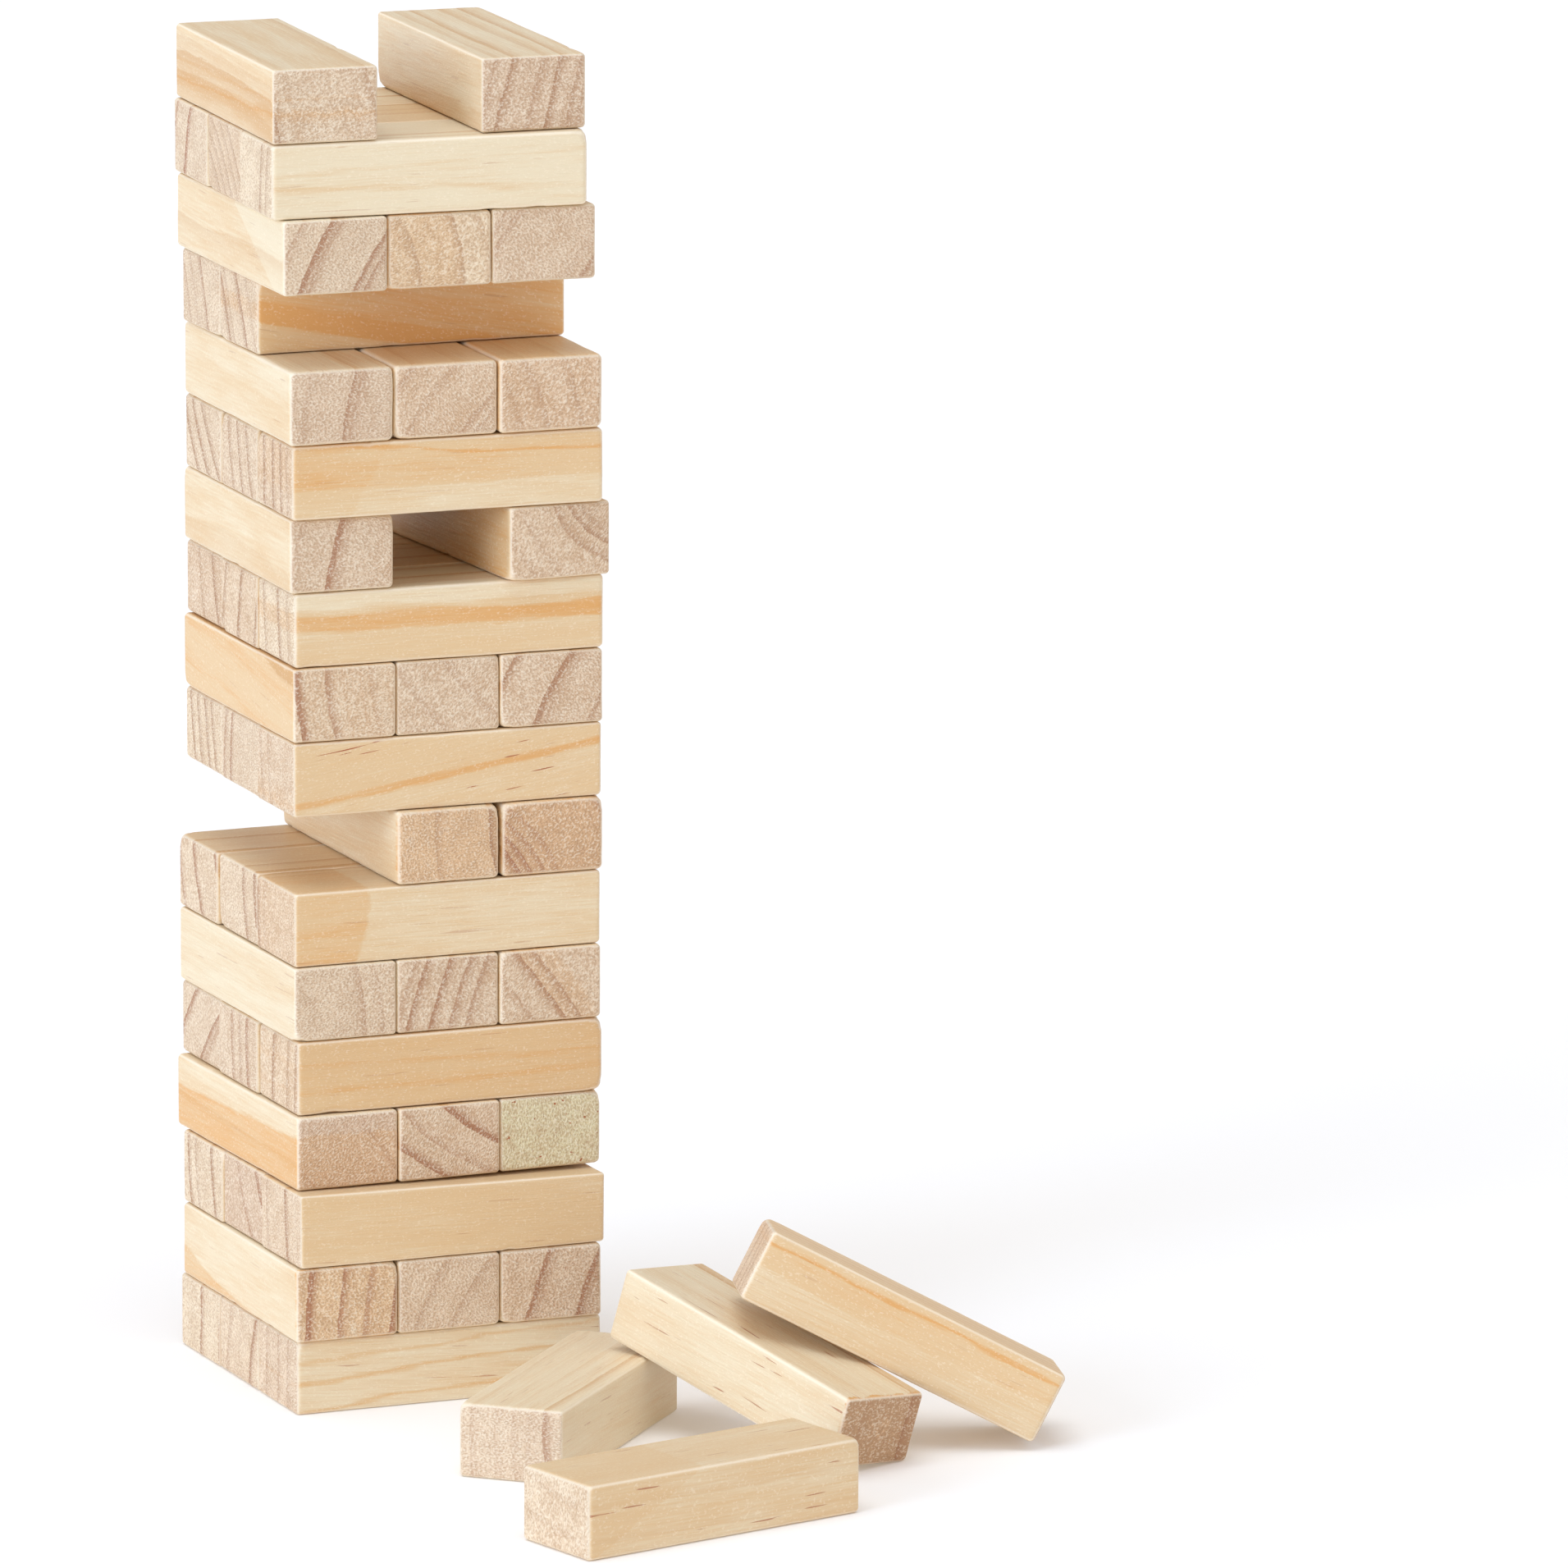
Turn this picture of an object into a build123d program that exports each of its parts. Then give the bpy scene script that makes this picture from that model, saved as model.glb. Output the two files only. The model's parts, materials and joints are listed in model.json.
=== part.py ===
from build123d import *
import os

# Stacking block game, partly played: a tower of 18 layers of three blocks laid crosswise, with
# four blocks drawn out of it and lying on the table beside its foot. Millimetres, +Z up.
# Origin: centre of the tower's underside. +X runs along the wide front face, +Y away from it.

# One block. Three widths make one length, so every layer has a square footprint.
BLOCK_LENGTH = 60.0
BLOCK_WIDTH = 20.0
BLOCK_THICKNESS = 13.7
EDGE_RADIUS = 1.0

# Stacking: a hair of daylight between layers and between the blocks of a layer.
LAYER_GAP = 0.1
SIDE_GAP = 0.1
LAYER_PITCH = BLOCK_THICKNESS + LAYER_GAP
BLOCK_PITCH = BLOCK_WIDTH + SIDE_GAP

# One block of layer 3 is sawn with a slight taper, which leaves a dark gap under layer 4.
TAPER_LAYER = 3
TAPER_DROP = 0.7

# How each layer has been pushed out of true, from the table upwards:
# shift along X, shift along Y, turn about the vertical in degrees.
LAYER_SHIFTS = [
    (0.0, 0.0, 0.0),
    (-0.2, -1.3, -0.4),
    (0.3, -1.1, 0.2),
    (0.7, 2.7, 0.9),
    (1.3, 3.1, -0.2),
    (1.2, 3.2, -0.2),
    (1.3, 3.6, -0.3),
    (1.4, 3.2, -0.4),
    (2.3, 4.2, -1.1),
    (2.2, 4.0, -1.2),
    (2.6, 4.1, -1.5),
    (1.8, 3.0, -1.9),
    (1.8, 1.8, -2.0),
    (1.2, 1.0, -2.0),
    (1.1, 0.4, -0.6),
    (-0.1, 1.1, -1.9),
    (-1.1, 1.0, -3.6),
    (-1.0, 1.6, -3.4),
]

# Blocks that stand apart from their layer: sideways shift, lengthways shift, extra turn.
BLOCK_NUDGES = {
    "layer_08_right_block": (0.4, 0.0, 0.0),
    "layer_12_left_block": (0.2, 0.3, 0.0),
    "layer_12_right_block": (-0.6, -0.9, 4.3),
    "layer_18_left_block": (0.2, -0.6, -0.3),
    "layer_18_right_block": (-0.3, 0.9, 0.4),
}

# Small lengthways offsets of the block ends, repeated up the tower.
END_OFFSETS = [0.2, -0.1, 0.0, -0.2, 0.1, 0.3, -0.1]

# Blocks that have been drawn out of the tower.
DRAWN_BLOCKS = ["layer_08_left_block", "layer_12_middle_block", "layer_15_front_block", "layer_18_middle_block"]

# The four drawn blocks on the table: centre, then turn about Z, pitch and roll in degrees.
# The first two lie flat, the third leans on the second and the fourth leans on the third.
LOOSE_BLOCKS = {
    "loose_block_flat_front": ((6.0, -131.9, BLOCK_THICKNESS / 2), (14.0, 0.0, 0.0)),
    "loose_block_flat_back": ((8.4, -67.9, BLOCK_THICKNESS / 2), (47.4, 0.0, 0.0)),
    "loose_block_leaning_low": ((41.7, -80.4, 14.49), (-68.8, 13.7, -6.2)),
    "loose_block_leaning_high": ((65.2, -86.7, 20.35), (-20.7, 27.3, -6.1)),
}


def save_block(name, plane, taper=0.0):
    """One wooden block, long side along the plane's X, with every edge eased."""
    with BuildPart() as block:
        with BuildSketch(plane * Plane.XZ.offset(-BLOCK_WIDTH / 2)):
            with BuildLine():
                Polyline(
                    (-BLOCK_LENGTH / 2, -BLOCK_THICKNESS / 2),
                    (BLOCK_LENGTH / 2, -BLOCK_THICKNESS / 2),
                    (BLOCK_LENGTH / 2, BLOCK_THICKNESS / 2 - taper),
                    (-BLOCK_LENGTH / 2, BLOCK_THICKNESS / 2),
                    close=True,
                )
            make_face()
        extrude(amount=BLOCK_WIDTH)
        fillet(block.edges(), EDGE_RADIUS)
    block.part.label = name
    export_step(block.part, f"parts/{name}.step")
    return block.part


os.makedirs("parts", exist_ok=True)

blocks = []
for level, (shift_x, shift_y, turn) in enumerate(LAYER_SHIFTS):
    along_x = level % 2 == 0
    places = ["front", "middle", "back"] if along_x else ["left", "middle", "right"]
    layer_centre = Location((shift_x, shift_y, level * LAYER_PITCH + BLOCK_THICKNESS / 2), (0, 0, turn))
    for column, place in enumerate(places):
        name = f"layer_{level + 1:02d}_{place}_block"
        if name in DRAWN_BLOCKS:
            continue
        side, along, extra_turn = BLOCK_NUDGES.get(name, (0.0, 0.0, 0.0))
        side += (column - 1) * BLOCK_PITCH
        along += END_OFFSETS[(3 * level + column) % len(END_OFFSETS)] if level > 0 else 0.0
        if along_x:
            offset = Location((along, side, 0), (0, 0, extra_turn))
        else:
            offset = Location((side, along, 0), (0, 0, extra_turn + 90))
        taper = TAPER_DROP if (level + 1, place) == (TAPER_LAYER, "front") else 0.0
        blocks.append(save_block(name, Plane(layer_centre * offset), taper))

for name, (centre, (turn, pitch, roll)) in LOOSE_BLOCKS.items():
    attitude = Location(centre, (0, 0, turn)) * Location((0, 0, 0), (0, pitch, 0)) * Location((0, 0, 0), (roll, 0, 0))
    blocks.append(save_block(name, Plane(attitude)))

print(len(blocks), "blocks of", round(blocks[0].volume / 1000, 2), "cubic centimetres")
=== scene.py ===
import json
import math
import random

import bpy
import numpy as np
from mathutils import Matrix, Vector


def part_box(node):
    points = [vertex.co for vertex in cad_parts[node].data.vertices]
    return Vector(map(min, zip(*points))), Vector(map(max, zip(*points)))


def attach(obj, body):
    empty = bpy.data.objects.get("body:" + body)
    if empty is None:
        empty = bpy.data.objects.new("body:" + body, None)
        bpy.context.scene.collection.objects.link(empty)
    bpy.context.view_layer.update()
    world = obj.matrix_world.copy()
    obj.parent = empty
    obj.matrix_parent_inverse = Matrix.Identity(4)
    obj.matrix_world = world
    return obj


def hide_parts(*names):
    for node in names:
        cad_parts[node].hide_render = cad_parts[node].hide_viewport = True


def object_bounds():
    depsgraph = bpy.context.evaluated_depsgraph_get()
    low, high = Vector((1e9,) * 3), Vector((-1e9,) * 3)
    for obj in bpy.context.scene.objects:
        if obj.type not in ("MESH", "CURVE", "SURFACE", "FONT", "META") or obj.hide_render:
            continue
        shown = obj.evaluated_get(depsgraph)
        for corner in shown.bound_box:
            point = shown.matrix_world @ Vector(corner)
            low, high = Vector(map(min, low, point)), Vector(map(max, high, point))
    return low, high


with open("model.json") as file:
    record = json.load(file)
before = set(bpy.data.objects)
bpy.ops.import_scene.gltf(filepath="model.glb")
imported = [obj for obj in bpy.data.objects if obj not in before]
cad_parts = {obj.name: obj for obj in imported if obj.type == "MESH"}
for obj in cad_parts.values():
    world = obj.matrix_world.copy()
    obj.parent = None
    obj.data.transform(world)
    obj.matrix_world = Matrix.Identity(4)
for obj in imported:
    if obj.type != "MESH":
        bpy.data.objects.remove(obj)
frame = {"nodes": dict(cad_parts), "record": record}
cad_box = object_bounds()
scene = bpy.context.scene

# A tower of bare pine blocks, three to a layer, and four more blocks lying beside its foot.
# Every block is built here as a worn, slightly uneven piece, and all of them share one
# pine material that is driven by each block's own place in the log it was sawn from.

MM = 0.001

# ---------------------------------------------------------------------------------------
# How each block was cut from its log.
#
# A block's own axes: "a" along its length towards the viewer's end, "b" to the viewer's
# right across that end, "c" up, all in mm from its middle. "q" is the distance from the
# middle towards the pith of the log, so growth rings are lines of equal q.
#
# pith      place of the log's pith: (angle in degrees from b towards c, distance in mm)
# lines     dark late-wood lines that stand out, at most six: (q, strength)
# lean      change of q for each mm away from the viewer's end
# slant     rise of the fibres in c for each mm away from the viewer's end
# faint     strength of the ordinary growth rings between the lines
# spacing   distance between those rings in mm
# tone      0 pale cream, 0.5 golden, 1 orange tan
# pink      greyish pink cast of the end grain; below 0 it turns greenish yellow
# warm      colour of the lines on the end grain: 0 grey brown, 1 red brown
# dashes    strength of the short resin streaks along the sides
# specks    strength of the same resin seen on the ends
# rounding  radius of the eased edges in mm
# bands     up to three areas of another tone: (axis, k0, k1, k2, width, tone to add)
#           The middle of a band is c = k0 + k1 a + k2 a^2 for axis "c",
#           a = k0 + k1 c + k2 c^2 for axis "a", and q = k0 for axis "q".
#           width is half the band's width in mm, or 1 for all that lies above that line
#           and -1 for all that lies below it.
# ---------------------------------------------------------------------------------------

LOOKS = {
    # Layer 18, open in the middle.
    "layer_18_left_block": {
        "pith": (195.0, 80.0),
        "lines": ((10.7, 1.0), (10.2, 0.7), (9.6, 1.0), (8.7, 0.4), (-6.5, 0.2), (-9.0, 0.6)),
        "lean": 0.007, "tone": 0.28, "pink": 0.45,
        "bands": (
            ("c", -2.4, 0.02, 0.0, 1.2, 0.3), ("c", -2.2, 0.02, 0.0, 0.2, 0.5),
            ("c", 0.9, 0.01, 0.0, 0.15, 0.5),
        ),
    },
    "layer_18_right_block": {
        "pith": (-14.0, 90.0),
        "lines": ((-5.8, 1.0), (-0.3, 0.6), (3.2, 1.0), (7.3, 0.6), (-8.8, 0.5), (9.2, 0.4)),
        "lean": 0.004, "tone": 0.22, "pink": 0.75,
    },
    # Layer 17.
    "layer_17_back_block": {
        "pith": (-21.0, 60.0), "lines": ((-2.0, 1.7), (-9.5, 0.8)), "tone": 0.2, "pink": 0.35,
        "faint": 0.15, "warm": 0.8,
    },
    "layer_17_middle_block": {
        "pith": (223.0, 40.0),
        "lines": ((-6.0, 0.7), (-3.0, 0.5), (0.0, 0.6), (3.0, 0.5), (6.0, 0.7)), "tone": 0.4,
        "pink": 0.4,
    },
    "layer_17_front_block": {
        "pith": (-8.0, 90.0), "lines": ((3.0, 0.9), (6.4, 0.6)), "tone": 0.06, "pink": 0.0,
        "warm": 0.2, "faint": 0.05,
        "bands": (("c", -2.2, 0.03, 0.0, 0.5, 0.16), ("c", 2.4, -0.05, 0.0, 0.35, 0.12)),
    },
    # Layer 16.
    "layer_16_left_block": {
        "pith": (-28.0, 60.0),
        "lines": ((-3.9, 1.6), (-2.4, 0.7), (6.2, 1.1), (8.0, 0.9), (-8.6, 0.5)), "tone": 0.04,
        "pink": 0.45, "bands": (("a", 13.8, -1.73, 0.0, -1, 0.18),),
    },
    "layer_16_middle_block": {
        "pith": (195.0, 28.0), "lines": ((-3.8, 0.6), (-8.5, 0.3), (4.5, 0.5)), "tone": 0.55,
        "pink": 0.0, "bands": (("q", -3.8, 0.0, 0.0, 1, 0.3),),
    },
    "layer_16_right_block": {
        "pith": (-35.0, 60.0), "lines": ((9.3, 0.8), (-7.5, 0.5), (-9.5, 0.4), (6.5, 0.25)),
        "tone": 0.3, "pink": 0.65,
    },
    # Layer 15, front block drawn.
    "layer_15_back_block": {
        "pith": (200.0, 90.0), "lines": ((-2.1, 1.0), (3.0, 0.35), (7.0, 0.5)), "tone": 0.15,
        "pink": 0.3, "faint": 0.3,
    },
    "layer_15_middle_block": {
        "pith": (205.0, 90.0), "lines": ((5.8, 1.2), (3.8, 0.5), (-2.1, 1.3), (-6.5, 0.4)),
        "tone": 0.78, "pink": 0.3, "faint": 0.15, "slant": -0.19,
        "bands": (
            ("c", -4.7, 0.195, 0.0, 1.7, 0.45), ("c", -6.7, 0.2, 0.0, -1, -0.16),
            ("a", 29.6, 0.0, 0.0, 1, -0.6),
        ),
    },
    # Layer 14.
    "layer_14_left_block": {
        "pith": (-10.0, 70.0), "lines": ((1.2, 0.9), (2.6, 0.6), (-7.0, 0.3)), "tone": 0.2,
        "pink": 0.7, "rounding": 1.1,
    },
    "layer_14_middle_block": {
        "pith": (-40.0, 60.0), "lines": ((6.0, 0.5), (8.2, 0.5), (-3.0, 0.35), (-9.0, 0.6)),
        "tone": 0.48, "pink": 0.7, "rounding": 1.2,
    },
    "layer_14_right_block": {
        "pith": (200.0, 50.0), "lines": ((2.0, 0.5), (-4.5, 0.5), (7.0, 0.3)), "tone": 0.62,
        "pink": 0.8, "rounding": 1.2,
    },
    # Layer 13.
    "layer_13_back_block": {
        "pith": (35.0, 60.0), "lines": ((-1.5, 1.3), (3.0, 1.1), (-6.0, 1.2)), "tone": 0.3,
        "pink": 0.3,
    },
    "layer_13_middle_block": {
        "pith": (15.0, 60.0), "lines": ((-5.0, 0.9), (0.0, 1.0), (5.0, 0.9)), "tone": 0.3,
        "pink": 0.4,
    },
    "layer_13_front_block": {
        "pith": (2.0, 80.0), "lines": ((-5.8, 1.1), (-1.0, 1.2), (3.2, 1.0), (6.7, 0.6)),
        "tone": 0.28, "pink": 0.4, "faint": 0.2,
        "bands": (
            ("c", -1.7, 0.0, 0.0, 1, 0.28), ("a", 15.0, -0.6, 0.0, 1, 0.1),
            ("c", 4.6, 0.07, 0.001, 0.2, 0.4),
        ),
    },
    # Layer 12, middle block drawn.
    "layer_12_left_block": {
        "pith": (-14.0, 70.0), "lines": ((-1.9, 1.6), (-0.8, 0.6), (-9.0, 0.3)), "tone": 0.28,
        "pink": 0.6,
    },
    # The band over all but its end towards the viewer darkens its sides, seen deep in the gap of
    # the drawn middle block, as painted shade.
    "layer_12_right_block": {
        "pith": (40.0, 26.0),
        "lines": ((2.3, 0.7), (5.2, 0.9), (6.9, 0.6), (-4.0, 0.3), (-8.0, 0.25)), "tone": 0.45,
        "pink": 0.6, "bands": (("a", 28.5, 0.0, 0.0, -1, 0.2),),
    },
    # Layer 11.
    "layer_11_back_block": {
        "pith": (15.0, 60.0), "lines": ((5.5, 1.2), (-2.0, 0.6)), "tone": 0.45, "pink": 0.6,
    },
    "layer_11_middle_block": {
        "pith": (-12.0, 70.0), "lines": ((0.2, 1.4), (-8.0, 0.9), (9.0, 1.1)), "tone": 0.5,
        "pink": 0.4,
    },
    "layer_11_front_block": {
        "pith": (8.0, 70.0), "lines": ((1.2, 1.2), (-6.5, 0.8), (6.0, 0.5)), "tone": 0.4,
        "pink": 0.0, "faint": 0.3,
        "bands": (("c", 1.0, 0.01, 0.0, 1.6, 0.44), ("c", 3.8, 0.0, 0.0, 1, -0.24)),
    },
    # Layer 10.
    "layer_10_left_block": {
        "pith": (9.0, 60.0), "lines": ((-9.0, 1.6), (-3.0, 0.8), (5.5, 0.2)), "tone": 0.54,
        "pink": 0.4, "slant": 0.1, "faint": 0.5,
    },
    "layer_10_middle_block": {
        "pith": (40.0, 50.0), "lines": ((-5.0, 0.4), (3.0, 0.4)), "tone": 0.35, "pink": 0.55,
    },
    "layer_10_right_block": {
        "pith": (-29.0, 70.0), "lines": ((-0.6, 1.7), (1.2, 0.5), (-9.1, 1.1), (9.4, 0.7)),
        "tone": 0.4, "pink": 0.65,
    },
    # Layer 9.
    "layer_09_back_block": {
        "pith": (12.0, 70.0), "lines": ((-6.0, 1.1), (-2.5, 0.9), (1.5, 1.1), (5.0, 0.9)),
        "tone": 0.4, "pink": 0.1,
    },
    "layer_09_middle_block": {
        "pith": (-3.0, 70.0), "lines": ((-4.5, 1.2), (-8.0, 0.8)), "tone": 0.3, "pink": 0.3,
    },
    "layer_09_front_block": {
        "pith": (10.0, 70.0), "lines": ((-7.5, 0.55), (-3.5, 0.45)), "tone": 0.36, "pink": 0.5,
        "dashes": 1.3, "slant": 0.145, "lean": -0.01, "faint": 0.1,
        "bands": (
            ("c", -0.7, -0.145, 0.0, 0.75, 0.24), ("c", 0.3, -0.145, 0.0, 1.7, 0.12),
            ("c", -1.4, -0.145, 0.0, 1, 0.08),
        ),
    },
    # Layer 8, left block drawn.
    "layer_08_middle_block": {
        "pith": (5.0, 60.0), "lines": ((8.4, 1.1), (-2.0, 0.5)), "tone": 0.3, "pink": 0.55,
        "rounding": 1.1, "faint": 0.1, "bands": (("a", 29.6, 0.0, 0.0, 1, 0.75),),
    },
    "layer_08_right_block": {
        "pith": (215.0, 30.0),
        "lines": ((8.5, 1.2), (6.6, 1.0), (-11.0, 1.2), (2.0, 0.5), (4.4, 0.6)), "warm": 0.7,
        "tone": 0.5, "pink": 0.95, "rounding": 1.1, "bands": (("a", 29.6, 0.0, 0.0, 1, 1.0),),
    },
    # Layer 7.
    "layer_07_back_block": {
        "pith": (18.0, 60.0), "lines": ((-0.6, 1.5), (-8.6, 1.0), (10.2, 1.4)), "tone": 0.4,
        "pink": 0.3, "faint": 0.1, "warm": 0.5,
    },
    "layer_07_middle_block": {
        "pith": (8.0, 60.0), "lines": ((3.2, 1.1), (8.8, 1.6)), "tone": 0.36, "pink": 0.3,
        "faint": 0.1, "warm": 0.4,
    },
    "layer_07_front_block": {
        "pith": (4.0, 60.0), "lines": ((-9.0, 1.0), (-6.2, 0.4)), "tone": 0.26, "pink": 0.45,
        "faint": 0.1, "bands": (("a", 15.9, -0.21, 0.02, 1, 0.36),),
    },
    # Layer 6.
    "layer_06_left_block": {
        "pith": (190.0, 50.0), "lines": ((-3.5, 0.6), (-7.0, 0.4)), "tone": 0.15, "pink": 0.45,
    },
    "layer_06_middle_block": {
        "pith": (-18.0, 70.0),
        "lines": ((-6.3, 1.1), (-1.8, 1.2), (2.1, 0.9), (5.2, 0.8), (-8.6, 0.5)), "tone": 0.3,
        "pink": 0.6,
    },
    "layer_06_right_block": {
        "pith": (215.0, 60.0), "lines": ((1.0, 1.0), (-1.5, 0.8), (6.0, 0.4)), "tone": 0.4,
        "pink": 0.55, "bands": (("q", -1.5, 0.0, 0.0, 3.0, 0.3),),
    },
    # Layer 5.
    "layer_05_back_block": {
        "pith": (-42.0, 60.0), "lines": ((-6.2, 1.3), (3.7, 1.4), (5.5, 0.7)), "tone": 0.3,
        "pink": 0.35,
    },
    "layer_05_middle_block": {
        "pith": (3.0, 60.0), "lines": ((-3.0, 0.9), (4.5, 1.3), (1.0, 0.6)), "tone": 0.3,
        "pink": 0.4,
    },
    "layer_05_front_block": {
        "pith": (-2.0, 80.0), "lines": ((-2.8, 1.3), (4.5, 0.7), (8.6, 0.9)), "tone": 0.55,
        "pink": 0.3, "faint": 0.3,
        "bands": (("c", 1.6, 0.02, 0.0, 0.5, 0.18), ("c", -2.4, -0.02, 0.0, 0.6, 0.15)),
    },
    # Layer 4.
    "layer_04_left_block": {
        "pith": (215.0, 60.0), "lines": ((-6.0, 0.3), (9.0, 0.3)), "tone": 0.24, "pink": 1.0,
        "bands": (("c", 1.9, 0.033, 0.0004, -1, 0.55),),
    },
    "layer_04_middle_block": {
        "pith": (55.0, 60.0), "lines": ((4.3, 1.7), (-6.1, 1.4), (-1.5, 0.5)), "tone": 0.4,
        "pink": 0.6,
    },
    "layer_04_right_block": {
        "pith": (100.0, 70.0), "lines": ((-8.0, 0.15),), "tone": 0.3, "pink": -0.8, "specks": 1.0,
    },
    # Layer 3, its front block sawn with a taper.
    "layer_03_back_block": {
        "pith": (8.0, 60.0), "lines": ((-7.0, 1.2), (5.0, 1.5), (-3.0, 0.7)), "tone": 0.35,
        "pink": 0.1,
    },
    "layer_03_middle_block": {
        "pith": (30.0, 50.0), "lines": ((8.5, 1.3), (0.0, 0.7)), "tone": 0.3, "pink": 0.85,
    },
    "layer_03_front_block": {
        "pith": (4.0, 70.0), "lines": ((2.2, 1.4), (-7.0, 0.6)), "tone": 0.42, "pink": 0.4,
        "faint": 0.2, "dashes": 0.5,
    },
    # Layer 2.
    "layer_02_left_block": {
        "pith": (-8.0, 60.0), "lines": ((-8.0, 1.7), (-1.5, 1.0), (3.6, 0.7), (8.8, 1.2)),
        "tone": 0.2, "pink": 0.1, "warm": 0.8,
        "bands": (("c", -5.9, -0.09, 0.0022, -1, 0.45), ("a", 29.6, 0.0, 0.0, 1, 0.9)),
    },
    "layer_02_middle_block": {
        "pith": (-30.0, 50.0), "lines": ((-4.0, 0.5), (3.0, 0.5)), "tone": 0.35, "pink": 0.55,
    },
    "layer_02_right_block": {
        "pith": (-21.0, 80.0), "lines": ((-2.9, 1.5), (-1.8, 0.6), (6.7, 1.5), (7.8, 0.6)),
        "tone": 0.45, "pink": 0.6, "warm": 0.5,
    },
    # Layer 1, on the table.
    "layer_01_back_block": {
        "pith": (-2.0, 70.0), "lines": ((0.3, 1.2), (9.6, 0.9)), "tone": 0.3, "pink": 0.0,
    },
    "layer_01_middle_block": {
        "pith": (-12.0, 70.0), "lines": ((6.8, 1.6), (-5.0, 0.6)), "tone": 0.3, "pink": 0.3,
    },
    "layer_01_front_block": {
        "pith": (-3.0, 70.0), "lines": ((-6.0, 0.6), (0.0, 0.6), (5.0, 0.6)), "tone": 0.14,
        "pink": 0.55, "faint": 0.2, "slant": -0.06, "dashes": 0.7,
        "bands": (
            ("c", 0.6, -0.06, 0.0, 0.2, 0.55), ("c", -4.2, -0.07, 0.0, 0.2, 0.55),
            ("c", 4.4, -0.05, 0.0, 0.15, 0.35),
        ),
    },
    # The four drawn blocks.
    # The band over the viewer's end of its side paints a soft shadow there.
    "loose_block_flat_front": {
        "pith": (80.0, 60.0), "lines": ((-3.0, 0.2), (3.0, 0.2)), "tone": 0.3, "pink": 0.15,
        "dashes": 1.0, "bands": (("a", 17.0, -1.8, 0.0, 1, 0.12),),
    },
    "loose_block_flat_back": {
        "pith": (2.0, 70.0),
        "lines": ((6.8, 0.9), (-7.8, 0.3), (-3.0, 0.2), (0.5, 0.2), (3.5, 0.2)), "tone": 0.14,
        "pink": 0.35, "warm": 0.5, "dashes": 0.5,
    },
    # Its end towards the viewer faces away from the key light; the band over that end darkens it
    # as painted shade.
    "loose_block_leaning_low": {
        "pith": (-3.0, 70.0), "lines": ((6.5, 1.1), (8.0, 0.5), (-5.0, 0.2)), "tone": 0.18,
        "pink": 0.95, "dashes": 1.0, "specks": 0.6, "bands": (("a", 29.6, 0.0, 0.0, 1, 2.2),),
    },
    "loose_block_leaning_high": {
        "pith": (0.0, 80.0), "lines": ((-4.0, 0.8), (1.0, 0.8), (5.0, 0.6)), "tone": 0.34,
        "pink": 0.45, "dashes": 0.3,
        "bands": (("c", -0.5, 0.0, 0.001, 1.0, 0.2), ("c", 4.7, 0.0, 0.0, 0.25, 0.45)),
    },
}


def look_of(node):
    """The cut of one block: listed where the block is in plain view, else by chance."""
    chance = random.Random("pine " + node)
    first = chance.uniform(-9.0, -4.0)
    look = {
        "pith": (chance.uniform(-180.0, 180.0), chance.uniform(25.0, 90.0)),
        "lines": [
            (first + i * chance.uniform(3.0, 5.0), chance.uniform(0.2, 0.9)) for i in range(4)
        ],
        "lean": chance.uniform(-0.01, 0.01),
        "slant": chance.uniform(-0.02, 0.02),
        "faint": chance.uniform(0.15, 0.4),
        "spacing": chance.uniform(1.6, 3.2),
        "tone": chance.uniform(0.1, 0.5),
        "pink": chance.uniform(0.3, 0.8),
        "warm": chance.uniform(0.1, 0.6),
        "dashes": chance.uniform(0.1, 0.5),
        "specks": chance.uniform(0.0, 0.3),
        "rounding": chance.uniform(0.7, 1.0),
        "bands": (),
    }
    look.update(LOOKS.get(node, {}))
    return look


# ---------------------------------------------------------------------------------------
# Block geometry
# ---------------------------------------------------------------------------------------

# Half length, half width and half thickness of a block in mm.
HALVES = np.array((30.0, 10.0, 6.85))

# Which way the camera is seen from the object, roughly.
TOWARDS_VIEWER = np.array((-0.45, -0.90, 0.0))

# A triangle of the CAD block this large belongs to a flat face, not to an eased edge.
FLAT_TRIANGLE = 40.0 * MM * MM
SAME_DIRECTION = 0.99

# Grid of the visual block in mm and degrees: cells on the flat faces, a narrow row beside
# each eased edge, and the rows round half of that edge.
CELL = 1.5
SUPPORT = 0.4
STRIP_ANGLES = (15.0, 30.0, 45.0)

# Radius of an eased edge in mm: its least and most, and its least on the leaning blocks and
# on the blocks that set the size of the whole model, which is more than the CAD's own.
LEAST_RADIUS = 0.45
MOST_RADIUS = 2.2
SNUG_RADIUS = 1.02

# A block that comes this near to a side of the CAD box sets the size of the whole model.
LIMIT_REACH = 0.15 * MM

# Wear, with lengths in mm: how many nicks an edge gets and dents a face, how far each
# reaches and how deep it goes, from least to most.
NICKS = (3, 6)
NICK_REACH = (0.7, 1.8)
NICK_DEPTH = (0.2, 0.7)
NICKS_AWAY_FROM_CORNERS = 0.7
DENTS = (1, 3)
DENT_REACH = (0.8, 1.6)
DENT_DEPTH = (0.03, 0.09)
DEEPEST_DENT = 0.2

# Unevenness in mm: wavelength of each ripple, and its share of the radius or its height.
BROAD_RIPPLE, BROAD_SHARE = 22.0, 0.10
FINE_RIPPLE, FINE_SHARE = 6.0, 0.06
FACE_RIPPLE, FACE_HEIGHT = 14.0, 0.012
LOG_RIPPLE, LOG_WANDER = 18.0, 0.30
ALONG_THE_GRAIN = (0.35, 1.0, 1.0)
WAVES = 5

# Reach of the open side of a band in mm, more than any block measures.
OPEN_BAND = 90.0

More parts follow.
